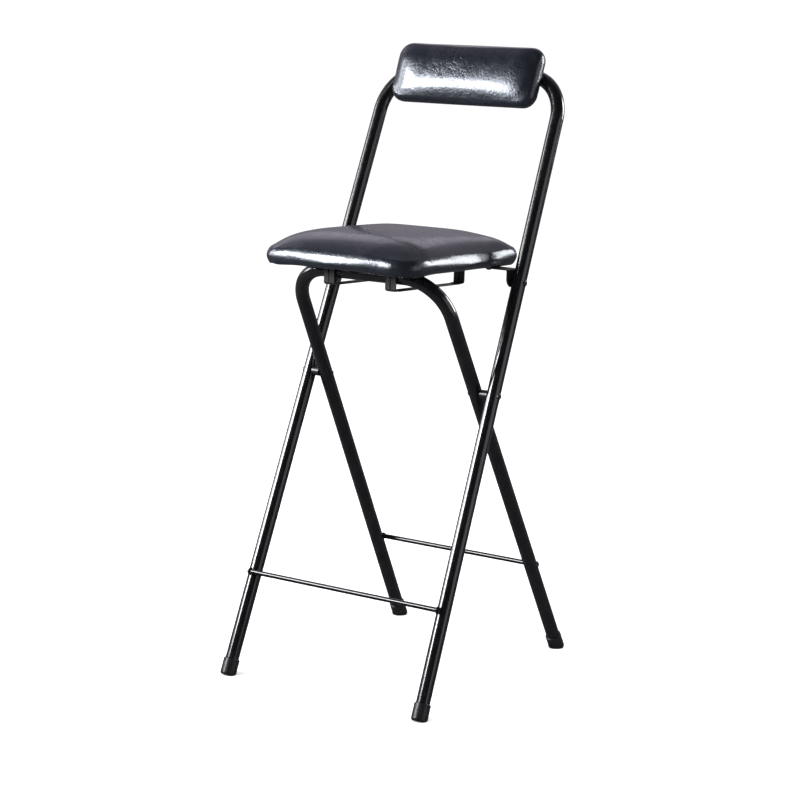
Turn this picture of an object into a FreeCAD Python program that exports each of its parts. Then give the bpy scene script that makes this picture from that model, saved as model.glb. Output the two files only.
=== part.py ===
"""Folding bar stool with a padded seat and backrest, on two crossed leg frames of bent steel tube.

The stool stands open on the plane Z = 0 and faces -Y. X = 0 is its plane of symmetry, and the
origin lies midway between the front and the rear feet. Lengths are millimetres.

The main leg frame leans back from the front feet to the backrest. The rear leg frame leans forward
from the rear feet, passes inside the main frame and carries the front of the seat on its crossbar.
Two rivets join the frames, and two more hang the rear of the seat in the main frame. To fold, the
front of the seat is lifted: the crossbar slides back under the seat and the frames close up.
"""
import FreeCAD, Part
import Sketcher
import math
import os

from FreeCAD import Placement, Rotation, Vector

# Driving dimensions, in millimetres and degrees
SIZES = {
    # the two frames of bent tube
    "tube_diameter": 22.0,
    "tube_wall": 1.5,
    "foot_spread": 433.3,
    "main_lean": 24.13,
    "main_splay": 0.98,
    "main_foot_width": 376.0,
    "main_top_height": 941.7,
    "main_bend_radius": 72.0,
    "rear_lean": 25.79,
    "rear_splay": 1.56,
    "rear_foot_width": 320.9,
    "rear_top_height": 651.0,
    "rear_bend_radius": 67.0,
    # foot caps
    "cap_wall": 1.95,
    "cap_top": 26.5,
    "cap_floor": 8.0,
    "cap_drop": 1.5,
    "cap_rounding": 4.0,
    "cap_lip_chamfer": 0.8,
    "cap_slack": 0.05,
    # footrest rods and their welds
    "rod_diameter": 8.0,
    "front_rod_height": 153.4,
    "rear_rod_height": 146.8,
    "weld_diameter": 13.0,
    "weld_length": 7.0,
    "weld_rounding": 2.0,
    "weld_overlap": 2.0,
    # rivets where the frames cross and at the seat's hinge
    "rivet_diameter": 6.0,
    "rivet_head_diameter": 9.5,
    "rivet_head_height": 1.6,
    "saddle_depth": 2.8,
    "running_slack": 0.05,
    "side_slack": 0.3,
    "spacer_diameter": 15.0,
    "washer_diameter": 14.0,
    "washer_thickness": 1.2,
    "washer_gap": 0.1,
    "hinge_height": 632.1,
    # seat, whose underside slopes down to the rear
    "seat_slope": 3.3,
    "seat_front_width": 295.6,
    "seat_rear_width": 284.4,
    "seat_overhang": 90.2,
    "seat_behind_hinge": 61.4,
    "seat_front_corner": 45.0,
    "seat_rear_corner": 24.0,
    "seat_widest_height": 14.4,
    "seat_top_height": 55.4,
    "seat_crown_reach": 138.0,
    "seat_draw_in": 6.5,
    "seat_board_thickness": 12.0,
    "seat_board_inset": 9.0,
    "cover_thickness": 0.8,
    "cover_inset": 13.0,
    "crossbar_gap": 0.35,
    # guides under the seat, before the crossbar and at the end of its travel
    "guide_spacing": 118.0,
    "guide_width": 20.0,
    "guide_steel": 2.0,
    "guide_drop": 33.0,
    "guide_flange": 22.0,
    "guide_lip": 9.0,
    "guide_bend": 4.0,
    "guide_screw_edge": 8.8,
    "guide_corner": 4.0,
    "guide_groove": 3.2,
    "guide_groove_corner": 1.4,
    "guide_groove_depth": 1.2,
    "guide_gap": 0.8,
    "guide_rear_offset": 5.0,
    # hinge brackets
    "bracket_steel": 2.0,
    "bracket_width": 30.0,
    "bracket_inset": 25.2,
    "bracket_screw_spacing": 16.0,
    "bracket_bend": 4.0,
    "bracket_ear": 8.0,
    "bracket_ear_round": 14.5,
    # screws and bolts
    "screw_diameter": 4.0,
    "screw_head_diameter": 8.0,
    "screw_head_height": 2.4,
    "screw_length": 13.0,
    "screw_edge": 7.0,
    "screw_slack": 0.02,
    "bolt_diameter": 5.0,
    "bolt_head_diameter": 10.0,
    "bolt_head_height": 2.6,
    "bolt_spacing": 140.0,
    "nut_flange_diameter": 18.0,
    "nut_flange_height": 1.2,
    "nut_barrel_diameter": 8.0,
    "nut_length": 8.0,
    # backrest pad
    "back_width": 275.2,
    "back_height": 99.8,
    "back_above": 37.3,
    "back_corner": 21.5,
    "back_widest_depth": 12.5,
    "back_front_depth": 33.1,
    "back_crown_reach": 48.0,
    "back_draw_in": 3.0,
    "back_board_thickness": 9.0,
    "back_board_inset": 7.0,
    "back_panel_thickness": 1.0,
    "back_panel_inset": 13.0,
    "board_slack": 0.2,
}

doc = FreeCAD.newDocument("folding_bar_stool")
sheet = doc.addObject("Spreadsheet::Sheet", "Size")
for row, (alias, value) in enumerate(SIZES.items(), start=1):
    sheet.set(f"A{row}", alias.replace("_", " "))
    sheet.set(f"B{row}", str(value))
    sheet.setAlias(f"B{row}", alias)
doc.recompute()


class Measure:
    """A number, with the formula that gives it from the sheet's cells."""

    def __init__(self, value, formula):
        self.value = value
        self.formula = formula

    def __add__(self, other):
        other = measure(other)
        return Measure(self.value + other.value, f"({self.formula} + {other.formula})")

    def __sub__(self, other):
        other = measure(other)
        return Measure(self.value - other.value, f"({self.formula} - {other.formula})")

    def __mul__(self, other):
        other = measure(other)
        return Measure(self.value * other.value, f"({self.formula} * {other.formula})")

    def __truediv__(self, other):
        other = measure(other)
        return Measure(self.value / other.value, f"({self.formula} / {other.formula})")

    def __neg__(self):
        return Measure(-self.value, f"(0 - {self.formula})")


def measure(thing):
    return thing if isinstance(thing, Measure) else Measure(float(thing), f"{float(thing):.9f}")


def cell(alias):
    return Measure(float(sheet.get(alias)), f"<<Size>>.{alias}")


def cosine(angle):
    return Measure(math.cos(math.radians(angle.value)), f"cos({angle.formula} * 1deg)")


def sine(angle):
    return Measure(math.sin(math.radians(angle.value)), f"sin({angle.formula} * 1deg)")


def tangent(angle):
    return Measure(math.tan(math.radians(angle.value)), f"tan({angle.formula} * 1deg)")


# Places that follow from the driving dimensions
TUBE_R = cell("tube_diameter") / 2
TUBE_END = cell("cap_floor")
FOOT_Y = cell("foot_spread") / 2
SIDES = {"left": -1, "right": 1}
SQUARE = 90.0
UP = Vector(0, 0, 1)


class Frame:
    """One inverted U of tube: a plane that leans, with a leg on each side of it.

    Its own X is the stool's, its Y runs up the lean, and its Z points to the front.
    """

    def __init__(self, prefix, foot_side):
        self.foot_side = foot_side
        self.lean = cell(f"{prefix}_lean")
        self.splay = cell(f"{prefix}_splay")
        self.foot_half = cell(f"{prefix}_foot_width") / 2
        self.bend = cell(f"{prefix}_bend_radius")
        self.top = self.along(cell(f"{prefix}_top_height"))
        turn = SQUARE + foot_side * self.lean.value
        self.place = Placement(Vector(0, foot_side * FOOT_Y.value, 0), Rotation(Vector(1, 0, 0), turn))

    def along(self, height):
        """Distance in the plane from the floor to a height."""
        return height / cosine(self.lean)

    def depth(self, height):
        """Y of the plane at a height."""
        return (FOOT_Y - height * tangent(self.lean)) * self.foot_side

    def half_width(self, along):
        """From the plane of symmetry to a leg's axis."""
        return self.foot_half - (along - TUBE_END) * tangent(self.splay)

    def leg_up(self, side):
        """Direction of a leg's axis, upwards."""
        splay = math.radians(self.splay.value)
        return self.place.Rotation.multVec(Vector(-side * math.sin(splay), math.cos(splay), 0))

    def leg_point(self, side, along):
        return self.place.multVec(Vector(side * self.half_width(along).value, along.value, 0))


MAIN = Frame("main", -1)
REAR = Frame("rear", 1)

PIVOT_Z = cell("foot_spread") / (tangent(MAIN.lean) + tangent(REAR.lean))
HINGE_Z = cell("hinge_height")
HINGE_Y = MAIN.depth(HINGE_Z)
CROSSBAR_Z = cell("rear_top_height")
CROSSBAR_Y = REAR.depth(CROSSBAR_Z)
PIVOT_ON_MAIN = MAIN.along(PIVOT_Z)
PIVOT_ON_REAR = REAR.along(PIVOT_Z)
HINGE_ON_MAIN = MAIN.along(HINGE_Z)

# The seat's own frame starts on its underside above the crossbar, with +Y to the rear
SLOPE = cell("seat_slope")
SEAT_TURN = Rotation(Vector(1, 0, 0), -SLOPE.value)
SEAT_RISE = TUBE_R + cell("crossbar_gap")
SEAT = Placement(
    Vector(0, CROSSBAR_Y.value, CROSSBAR_Z.value) + SEAT_TURN.multVec(UP * SEAT_RISE.value), SEAT_TURN)
HINGE_BACK = HINGE_Y - CROSSBAR_Y
HINGE_UP = HINGE_Z - CROSSBAR_Z
HINGE_SEAT_Y = HINGE_BACK * cosine(SLOPE) - HINGE_UP * sine(SLOPE)
HINGE_SEAT_Z = HINGE_BACK * sine(SLOPE) + HINGE_UP * cosine(SLOPE) - SEAT_RISE
SEAT_FRONT = -cell("seat_overhang")
SEAT_REAR = HINGE_SEAT_Y + cell("seat_behind_hinge")

# The pad's own frame starts on its back where it meets the crossbar, with +Z to the front
PAD = MAIN.place.multiply(Placement(Vector(0, MAIN.top.value, TUBE_R.value), Rotation()))
PAD_TOP = cell("back_above")
PAD_BOTTOM = PAD_TOP - cell("back_height")


def new_body(label, place):
    body = doc.addObject("PartDesign::Body", label)
    body.Label = label
    body.Placement = place
    return body


def new_sketch(body, role, name, offset=None):
    """A sketch on one of the body's own origin planes."""
    sketch = body.newObject("Sketcher::SketchObject", name)
    plane = next(item for item in body.Origin.OriginFeatures if item.Role == role)
    sketch.AttachmentSupport = [(plane, "")]
    sketch.MapMode = "FlatFace"
    if offset is not None:
        sketch.AttachmentOffset = offset
    return sketch


def fix(sketch, kind, where, amount):
    """A constraint whose value follows the sheet."""
    amount = measure(amount)
    index = sketch.addConstraint(Sketcher.Constraint(kind, *where, amount.value))
    if "<<" in amount.formula:
        sketch.setExpression(f"Constraints[{index}]", amount.formula)


def pin(sketch, curve, end, x, y):
    """Fix a point of a curve in the sketch's plane."""
    for kind, axis, place in (("DistanceX", -2, measure(x)), ("DistanceY", -1, measure(y))):
        if place.value == 0:
            sketch.addConstraint(Sketcher.Constraint("PointOnObject", curve, end, axis))
        else:
            fix(sketch, kind, (-1, 1, curve, end), place)


def circle(sketch, x, y, radius):
    flat = Vector(measure(x).value, measure(y).value, 0)
    ring = sketch.addGeometry(Part.Circle(flat, UP, measure(radius).value))
    if flat.Length == 0:
        sketch.addConstraint(Sketcher.Constraint("Coincident", ring, 3, -1, 1))
    else:
        pin(sketch, ring, 3, x, y)
    fix(sketch, "Radius", (ring,), radius)


def outline(sketch, corners, rounds=None):
    """A closed outline through corners, with a tangent arc at each corner that has a radius."""
    rounds = rounds or {}
    count = len(corners)
    spots = [Vector(measure(x).value, measure(y).value, 0) for x, y in corners]
    arc_starts = {}
    arc_ends = {}
    centres = {}
    for number, spot in enumerate(spots):
        back = (spots[number - 1] - spot).normalize()
        ahead = (spots[(number + 1) % count] - spot).normalize()
        half_angle = back.getAngle(ahead) / 2
        radius = measure(rounds.get(number, 0)).value
        arc_starts[number] = spot + back * (radius / math.tan(half_angle))
        arc_ends[number] = spot + ahead * (radius / math.tan(half_angle))
        centres[number] = spot + (back + ahead).normalize() * (radius / math.sin(half_angle))
    lines = []
    for number in range(count):
        after = (number + 1) % count
        lines.append(sketch.addGeometry(Part.LineSegment(arc_ends[number], arc_starts[after])))
    for number, (x, y) in enumerate(corners):
        before = lines[number - 1]
        here = lines[number]
        if number not in rounds:
            sketch.addConstraint(Sketcher.Constraint("Coincident", before, 2, here, 1))
            pin(sketch, here, 1, x, y)
            continue
        start = arc_starts[number] - centres[number]
        end = arc_ends[number] - centres[number]
        left_turn = start.cross(end).z > 0
        first, last = (start, end) if left_turn else (end, start)
        from_angle = math.atan2(first.y, first.x)
        to_angle = math.atan2(last.y, last.x)
        if to_angle < from_angle:
            to_angle += 2 * math.pi
        ring = Part.Circle(centres[number], UP, measure(rounds[number]).value)
        arc = sketch.addGeometry(Part.ArcOfCircle(ring, from_angle, to_angle))
        sketch.addConstraint(Sketcher.Constraint("Tangent", before, 2, arc, 1 if left_turn else 2))
        sketch.addConstraint(Sketcher.Constraint("Tangent", here, 1, arc, 2 if left_turn else 1))
        fix(sketch, "Radius", (arc,), rounds[number])
        mark = sketch.addGeometry(Part.Point(spots[number]), True)
        pin(sketch, mark, 1, x, y)
        sketch.addConstraint(Sketcher.Constraint("PointOnObject", mark, 1, before))
        sketch.addConstraint(Sketcher.Constraint("PointOnObject", mark, 1, here))


def pad(body, sketch, length, symmetric=False):
    feature = body.newObject("PartDesign::Pad", f"{sketch.Name}_pad")
    feature.Profile = sketch
    feature.SideType = "Symmetric" if symmetric else "One side"
    feature.Length = measure(length).value
    feature.setExpression("Length", measure(length).formula)
    doc.recompute()


def cut(body, sketch, symmetric=True, reverse=False, length=None):
    """Cut the sketch's outline out of the body, and make sure that something was cut."""
    before = body.Shape.Volume
    feature = body.newObject("PartDesign::Pocket", f"{sketch.Name}_cut")
    feature.Profile = sketch
    feature.SideType = "Symmetric" if symmetric else "One side"
    feature.Reversed = reverse
    if length is None:
        feature.Type = "ThroughAll"
    else:
        feature.Length = measure(length).value
        feature.setExpression("Length", measure(length).formula)
    doc.recompute()
    if not body.Shape.Volume < before - 0.001:
        raise RuntimeError(f"{body.Label}: {sketch.Name} cuts nothing")


def revolve(body, name, corners, rounds=None):
    """A round form about the body's Z axis, from its half section in (radius, height)."""
    sketch = new_sketch(body, "XZ_Plane", name)
    outline(sketch, corners, rounds)
    feature = body.newObject("PartDesign::Revolution", f"{name}_turned")
    feature.Profile = sketch
    feature.ReferenceAxis = (sketch, ["V_Axis"])
    feature.Angle = 360
    doc.recompute()


def seat_on_leg(body, frame, side, along):
    """Cut the round of a leg's tube out of a body that sits on it."""
    leg = Placement(frame.leg_point(side, along), Rotation(UP, frame.leg_up(side)))
    sketch = new_sketch(body, "XY_Plane", f"{body.Label}_seat", body.Placement.inverse().multiply(leg))
    circle(sketch, 0, 0, TUBE_R)
    cut(body, sketch, length=cell("tube_diameter") * 3)


def copies(label, pattern, places):
    """Several alike pieces in one node: the pattern's shape at each place."""
    item = doc.addObject("Part::Feature", label)
    item.Label = label
    shapes = []
    for place in places:
        shape = pattern.Shape.copy()
        shape.Placement = place
        shapes.append(shape)
    item.Shape = Part.makeCompound(shapes)
    return item


# Bent tube frames

def frame_tube(label, frame, rivet_holes, bolt_holes=False):
    """The path of the bends lies in the frame's plane, and the ring of the tube at one foot."""
    body = new_body(label, frame.place)
    splay = math.radians(frame.splay.value)
    half_turn = tangent((measure(SQUARE) - frame.splay) / 2)
    bend_start = frame.half_width(frame.top) - frame.bend * half_turn
    centre = Vector(bend_start.value, frame.top.value - frame.bend.value, 0)
    knee = centre + Vector(math.cos(splay), math.sin(splay), 0) * frame.bend.value
    foot = Vector(frame.foot_half.value, TUBE_END.value, 0)

    def mirrored(point):
        return Vector(-point.x, point.y, 0)

    path = new_sketch(body, "XY_Plane", f"{label}_path")
    right_leg = path.addGeometry(Part.LineSegment(foot, knee))
    right_ring = Part.Circle(centre, UP, frame.bend.value)
    right_bend = path.addGeometry(Part.ArcOfCircle(right_ring, splay, math.pi / 2))
    crossbar = path.addGeometry(Part.LineSegment(
        Vector(centre.x, frame.top.value, 0), Vector(-centre.x, frame.top.value, 0)))
    left_ring = Part.Circle(mirrored(centre), UP, frame.bend.value)
    left_bend = path.addGeometry(Part.ArcOfCircle(left_ring, math.pi / 2, math.pi - splay))
    left_leg = path.addGeometry(Part.LineSegment(mirrored(knee), mirrored(foot)))
    for one, other in ((right_leg, right_bend), (right_bend, crossbar),
                       (crossbar, left_bend), (left_bend, left_leg)):
        path.addConstraint(Sketcher.Constraint("Tangent", one, 2, other, 1))
    pin(path, right_leg, 1, frame.foot_half, TUBE_END)
    pin(path, left_leg, 2, -frame.foot_half, TUBE_END)
    path.addConstraint(Sketcher.Constraint("Horizontal", crossbar))
    path.addConstraint(Sketcher.Constraint("Equal", left_bend, right_bend))
    fix(path, "Radius", (right_bend,), frame.bend)
    fix(path, "DistanceY", (-1, 1, crossbar, 1), frame.top)
    fix(path, "DistanceX", (-1, 1, crossbar, 1), bend_start)

    ring = new_sketch(body, "XZ_Plane", f"{label}_ring", Placement(
        Vector(foot.x, 0, -foot.y), Rotation(Vector(0, 1, 0), frame.splay.value)))
    circle(ring, 0, 0, TUBE_R)
    circle(ring, 0, 0, TUBE_R - cell("tube_wall"))
    doc.recompute()
    pipe = body.newObject("PartDesign::AdditivePipe", f"{label}_pipe")
    pipe.Profile = ring
    pipe.Spine = (path, [])
    doc.recompute()

    holes = new_sketch(body, "YZ_Plane", f"{label}_rivet_holes")
    for along in rivet_holes:
        circle(holes, along, 0, cell("rivet_diameter") / 2 + cell("running_slack"))
    cut(body, holes)
    if bolt_holes:
        holes = new_sketch(body, "XY_Plane", f"{label}_bolt_holes")
        for side in SIDES.values():
            circle(holes, cell("bolt_spacing") * side / 2, frame.top,
                   cell("bolt_diameter") / 2 + cell("running_slack"))
        cut(body, holes)


def foot_cap(label, frame, side):
    """A plastic cap over a tube's end, square to the leg and cut level where it meets the floor."""
    foot = frame.leg_point(side, measure(0))
    body = new_body(label, Placement(foot, Rotation(UP, frame.leg_up(side))))
    bore = TUBE_R + cell("cap_slack")
    outer = bore + cell("cap_wall")
    top = cell("cap_top")
    lip = cell("cap_lip_chamfer")
    bottom = -cell("cap_drop")
    revolve(body, f"{label}_section",
            [(0, bottom), (outer, bottom), (outer, top - lip), (outer - lip, top), (bore, top),
             (bore, TUBE_END), (0, TUBE_END)],
            {1: cell("cap_rounding")})
    level = body.Placement.inverse().multiply(Placement(foot, Rotation()))
    floor = new_sketch(body, "XY_Plane", f"{label}_floor", level)
    circle(floor, 0, 0, outer * 2)
    cut(body, floor, symmetric=False)


def footrest_rod(label, frame, height, front):
    """A round rod across both legs, with a weld bead at each end that seats on the tube.

    The body's Z runs along the rod and its Y up the lean.
    """
    along = frame.along(height)
    off = (TUBE_R + cell("rod_diameter") / 2) * front
    reach = frame.half_width(along)
    body = new_body(label, frame.place.multiply(
        Placement(Vector(0, along.value, off.value), Rotation(Vector(0, 1, 0), SQUARE))))
    rod = cell("rod_diameter") / 2
    bead = cell("weld_diameter") / 2
    bead_half = cell("weld_length") / 2
    end = reach + cell("weld_overlap")
    peak = end - bead_half
    start = end - cell("weld_length")
    half = [(rod, start), (bead, peak), (rod, end), (0, end)]
    other_half = [(x, -measure(z)) for x, z in reversed(half)]
    revolve(body, f"{label}_section", other_half + half,
            {2: cell("weld_rounding"), 5: cell("weld_rounding")})
    for name, side in SIDES.items():
        tube = new_sketch(body, "XZ_Plane", f"{label}_tube_{name}", Placement(
            Vector(off.value, side * reach.value, 0),
            Rotation(Vector(1, 0, 0), -side * frame.splay.value)))
        circle(tube, 0, 0, TUBE_R)
        cut(body, tube)


frame_tube("main_frame_tube", MAIN, [PIVOT_ON_MAIN, HINGE_ON_MAIN], bolt_holes=True)
frame_tube("rear_leg_tube", REAR, [PIVOT_ON_REAR])
for name, side in SIDES.items():
    foot_cap(f"front_foot_cap_{name}", MAIN, side)
    foot_cap(f"rear_foot_cap_{name}", REAR, side)
footrest_rod("front_footrest_rod", MAIN, cell("front_rod_height"), 1)
footrest_rod("rear_footrest_rod", REAR, cell("rear_rod_height"), -1)


# Rivets, spacers and washers

def rivet(label, side, along, inner):
    """A rivet through a main leg: an outer head that seats on the tube, and an inner head.

    The body's Z runs outwards along the rivet, from the plane of symmetry, and inner is where the
    inner head starts.
    """
    axis_x = MAIN.half_width(along)
    spot = MAIN.place.multVec(Vector(0, along.value, 0))
    body = new_body(label, Placement(spot, Rotation(UP, Vector(side, 0, 0))))
    shank = cell("rivet_diameter") / 2
    head = cell("rivet_head_diameter") / 2
    dome = cell("rivet_head_height")
    skirt = TUBE_R - cell("saddle_depth")
    crown = {1: dome * 0.95}
    revolve(body, f"{label}_outer_head",
            [(0, axis_x + TUBE_R + dome), (head, axis_x + TUBE_R + dome), (head, axis_x + skirt),
             (0, axis_x + skirt)], crown)
    seat_on_leg(body, MAIN, side, along)
    revolve(body, f"{label}_shank",
            [(0, inner - dome), (head, inner - dome), (head, inner), (shank, inner),
             (shank, axis_x + TUBE_R + 1), (0, axis_x + TUBE_R + 1)], crown)


def spacer(label, side):
    """A bush between the crossing legs, with a saddle that seats on the main leg."""
    along = PIVOT_ON_MAIN
    spot = MAIN.place.multVec(Vector(0, along.value, 0))
    body = new_body(label, Placement(spot, Rotation(UP, Vector(side, 0, 0))))
    outer = cell("spacer_diameter") / 2
    bore = cell("rivet_diameter") / 2 + cell("running_slack")
    inner_end = REAR.half_width(PIVOT_ON_REAR) + TUBE_R + cell("side_slack")
    outer_end = MAIN.half_width(along) - TUBE_R + cell("saddle_depth")
    revolve(body, f"{label}_section",
            [(bore, inner_end), (outer, inner_end), (outer, outer_end), (bore, outer_end)])
    seat_on_leg(body, MAIN, side, along)


LEG_INNER = MAIN.half_width(HINGE_ON_MAIN) - TUBE_R
WASHER_IN = LEG_INNER - cell("side_slack") - cell("washer_thickness")
EAR_OUT = WASHER_IN - cell("washer_gap")
EAR_IN = EAR_OUT - cell("bracket_steel")
for name, side in SIDES.items():
    rivet(f"pivot_rivet_{name}", side, PIVOT_ON_MAIN,
          REAR.half_width(PIVOT_ON_REAR) - TUBE_R - cell("side_slack"))
    rivet(f"hinge_rivet_{name}", side, HINGE_ON_MAIN, EAR_IN - cell("washer_gap"))
    spacer(f"pivot_spacer_{name}", side)

washer = new_body("washer_pattern", Placement())
washer_bore = cell("rivet_diameter") / 2 + cell("running_slack")
washer_rim = cell("washer_diameter") / 2
revolve(washer, "washer_section",
        [(washer_bore, 0), (washer_rim, 0), (washer_rim, cell("washer_thickness")),
         (washer_bore, cell("washer_thickness"))])
copies("hinge_washers", washer, [
    Placement(Vector(side * WASHER_IN.value, HINGE_Y.value, HINGE_Z.value),
              Rotation(UP, Vector(side, 0, 0))) for side in SIDES.values()])


# Padded pieces: a board, foam and cover over it, and a skin on its back

class Cushion:
    """A rounded pad seen from above: its outline, and how its sides and crown change with height."""

    LOW_SHARES = (0.0, 0.4, 0.75)
    CROWN_SHARES = (0.0, 0.3, 0.55, 0.75, 0.88, 0.955, 0.99)
    FULLNESS = 3.2
    CORNER_SHRINK = 0.6

    def __init__(self, place, corners, corner_radii, prefix, widest, top):
        self.place = place
        self.corners = corners
        self.corner_radii = corner_radii
        self.widest = widest
        self.top = top
        self.draw_in = cell(f"{prefix}_draw_in")
        self.reach = cell(f"{prefix}_crown_reach")

    def draw(self, body, name, height, inset, smallest=6.0):
        """The outline, moved in by an inset, at a height."""
        level = Placement(Vector(0, 0, measure(height).value), Rotation())
        sketch = new_sketch(body, "XY_Plane", name, level)
        shifts = ((1, 1), (-1, 1), (-1, -1), (1, -1))
        corners = [(x + inset * dx, y + inset * dy) for (x, y), (dx, dy) in zip(self.corners, shifts)]
        rounds = {}
        for number, radius in enumerate(self.corner_radii):
            shrunk = radius - inset * self.CORNER_SHRINK
            rounds[number] = shrunk if shrunk.value > smallest else measure(smallest)
        outline(sketch, corners, rounds)
        return sketch

    def levels(self):
        """Height and inset of each section, from the underside to the middle of the crown."""
        found = [(self.widest * share, self.draw_in * (1 - share) ** 1.8) for share in self.LOW_SHARES]
        for share in self.CROWN_SHARES:
            inset = self.reach * (1 - (1 - share ** 2) ** (1 / self.FULLNESS))
            found.append((self.widest + (self.top - self.widest) * share, inset))
        return found

    def foam(self, label, cavity, opening):
        """The crowned form, hollowed for the board and left open on its underside."""
        body = new_body(label, self.place)
        sections = [self.draw(body, f"{label}_section_{number}", height, inset)
                    for number, (height, inset) in enumerate(self.levels())]
        doc.recompute()
        loft = body.newObject("PartDesign::AdditiveLoft", f"{label}_form")
        loft.Profile = sections[0]
        loft.Sections = sections[1:]
        loft.Ruled = True
        doc.recompute()
        skin, thickness, board_inset = cavity
        sketch = self.draw(body, f"{label}_cavity", skin, board_inset)
        cut(body, sketch, symmetric=False, reverse=True, length=thickness)
        sketch = self.draw(body, f"{label}_opening", 0, opening)
        cut(body, sketch, symmetric=False, reverse=True, length=skin)
        return body

    def sheet(self, label, height, thickness, inset):
        """A flat piece of the same outline."""
        body = new_body(label, self.place)
        pad(body, self.draw(body, f"{label}_outline", height, inset), thickness)
        return body


def drill(body, name, spots, radius):
    sketch = new_sketch(body, "XY_Plane", name)
    for x, y in spots:
        circle(sketch, x, y, radius)
    cut(body, sketch)


SCREW_HOLE = cell("screw_diameter") / 2 + cell("screw_slack")
FRONT_LEG = -(TUBE_R + cell("guide_gap"))
REAR_LEG = HINGE_SEAT_Y + cell("guide_rear_offset")
GUIDE_SCREW = cell("guide_flange") - cell("guide_screw_edge")
GUIDE_SPOTS = [(cell("guide_spacing") * side / 2, y) for side in SIDES.values()
               for y in (FRONT_LEG - GUIDE_SCREW, REAR_LEG + GUIDE_SCREW)]
front_half = cell("seat_front_width") / 2
rear_half = cell("seat_rear_width") / 2
STRAP_END = rear_half - cell("bracket_inset")
BRACKET_SCREW = STRAP_END + cell("screw_edge")
BRACKET_STEPS = (cell("bracket_screw_spacing") / -2, cell("bracket_screw_spacing") / 2)
BRACKET_SPOTS = [(BRACKET_SCREW * side, HINGE_SEAT_Y + step)
                 for side in SIDES.values() for step in BRACKET_STEPS]

seat_form = Cushion(
    SEAT,
    [(-front_half, SEAT_FRONT), (front_half, SEAT_FRONT), (rear_half, SEAT_REAR), (-rear_half, SEAT_REAR)],
    [cell("seat_front_corner")] * 2 + [cell("seat_rear_corner")] * 2,
    "seat", cell("seat_widest_height"), cell("seat_top_height"))
skin = cell("cover_thickness")
seat_form.foam("seat_cushion", (skin, cell("seat_board_thickness"), cell("seat_board_inset")),
               cell("cover_inset"))
seat_board = seat_form.sheet("seat_board", skin, cell("seat_board_thickness"),
                             cell("seat_board_inset") + cell("board_slack"))
seat_cover = seat_form.sheet("seat_bottom_cover", 0, skin, cell("cover_inset") + cell("board_slack"))
for body in (seat_board, seat_cover):
    drill(body, f"{body.Label}_screw_holes", GUIDE_SPOTS + BRACKET_SPOTS, SCREW_HOLE)

back_half = cell("back_width") / 2
back_form = Cushion(
    PAD,
    [(-back_half, PAD_BOTTOM), (back_half, PAD_BOTTOM), (back_half, PAD_TOP), (-back_half, PAD_TOP)],
    [cell("back_corner")] * 4,
    "back", cell("back_widest_depth"), cell("back_front_depth"))
panel = cell("back_panel_thickness")
BOLT_SPOTS = [(cell("bolt_spacing") * side / 2, 0) for side in SIDES.values()]
back_cushion = back_form.foam("backrest_cushion",
                              (panel, cell("back_board_thickness"), cell("back_board_inset")),
                              cell("back_panel_inset"))
back_board = back_form.sheet("backrest_board", panel, cell("back_board_thickness"),
                             cell("back_board_inset") + cell("board_slack"))
back_panel = back_form.sheet("backrest_back_panel", 0, panel,
                             cell("back_panel_inset") + cell("board_slack"))
nut_hole = cell("nut_barrel_diameter") / 2 + cell("screw_slack")
bolt_hole = cell("bolt_diameter") / 2 + cell("running_slack")
drill(back_board, "backrest_board_nut_holes", BOLT_SPOTS, nut_hole)
drill(back_panel, "backrest_panel_bolt_holes", BOLT_SPOTS, bolt_hole)
nut_height = panel + cell("back_board_thickness")
room_start = nut_height - cell("board_slack")
flange_room = new_sketch(back_cushion, "XY_Plane", "backrest_cushion_nut_room",
                         Placement(Vector(0, 0, room_start.value), Rotation()))
for x, y in BOLT_SPOTS:
    circle(flange_room, x, y, cell("nut_flange_diameter") / 2 + cell("running_slack"))
cut(back_cushion, flange_room, symmetric=False, reverse=True,
    length=cell("nut_flange_height") + cell("board_slack"))


# Guides and brackets under the seat

def guide(label, side, leg, forward):
    """A bent strip: a flange screwed under the board, a grooved leg, and a lip that goes under the tube."""
    middle = cell("guide_spacing") * side / 2
    body = new_body(label, SEAT.multiply(Placement(Vector(middle.value, 0, 0), Rotation())))
    steel = cell("guide_steel")
    inner_bend = cell("guide_bend") - steel
    drop = -cell("guide_drop")

    def at(reach, z):
        return (leg + measure(reach) * forward, z)

    profile = new_sketch(body, "YZ_Plane", f"{label}_strip")
    outline(profile, [at(-cell("guide_flange"), 0), at(-cell("guide_flange"), -steel), at(-steel, -steel),
                      at(-steel, drop), at(cell("guide_lip"), drop), at(cell("guide_lip"), drop + steel),
                      at(0, drop + steel), at(0, 0)],
            {2: inner_bend, 3: cell("guide_bend"), 6: inner_bend, 7: cell("guide_bend")})
    pad(body, profile, cell("guide_width"), symmetric=True)
    edge = cell("guide_width") / 2
    corner = cell("guide_corner")
    for name, across in SIDES.items():
        notch = new_sketch(body, "XZ_Plane", f"{label}_corner_{name}")
        near = (edge - corner * 2) * across
        far = (edge + steel) * across
        high = drop + corner * 2
        low = drop - steel
        outline(notch, [(edge * across, high), (edge * across, drop), (near, drop), (near, low),
                        (far, low), (far, high)], {1: corner})
        cut(body, notch)
    half = cell("guide_groove") / 2
    top = -(cell("guide_bend") + steel)
    bottom = drop + cell("guide_bend")
    front_face = leg - steel if forward > 0 else leg
    groove = new_sketch(body, "XZ_Plane", f"{label}_groove",
                        Placement(Vector(0, 0, -front_face.value), Rotation()))
    outline(groove, [(-half, bottom), (half, bottom), (half, top), (-half, top)],
            {number: cell("guide_groove_corner") for number in range(4)})
    cut(body, groove, symmetric=False, length=cell("guide_groove_depth"))
    drill(body, f"{label}_screw_hole", [(0, at(-GUIDE_SCREW, 0)[0])], SCREW_HOLE)


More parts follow.
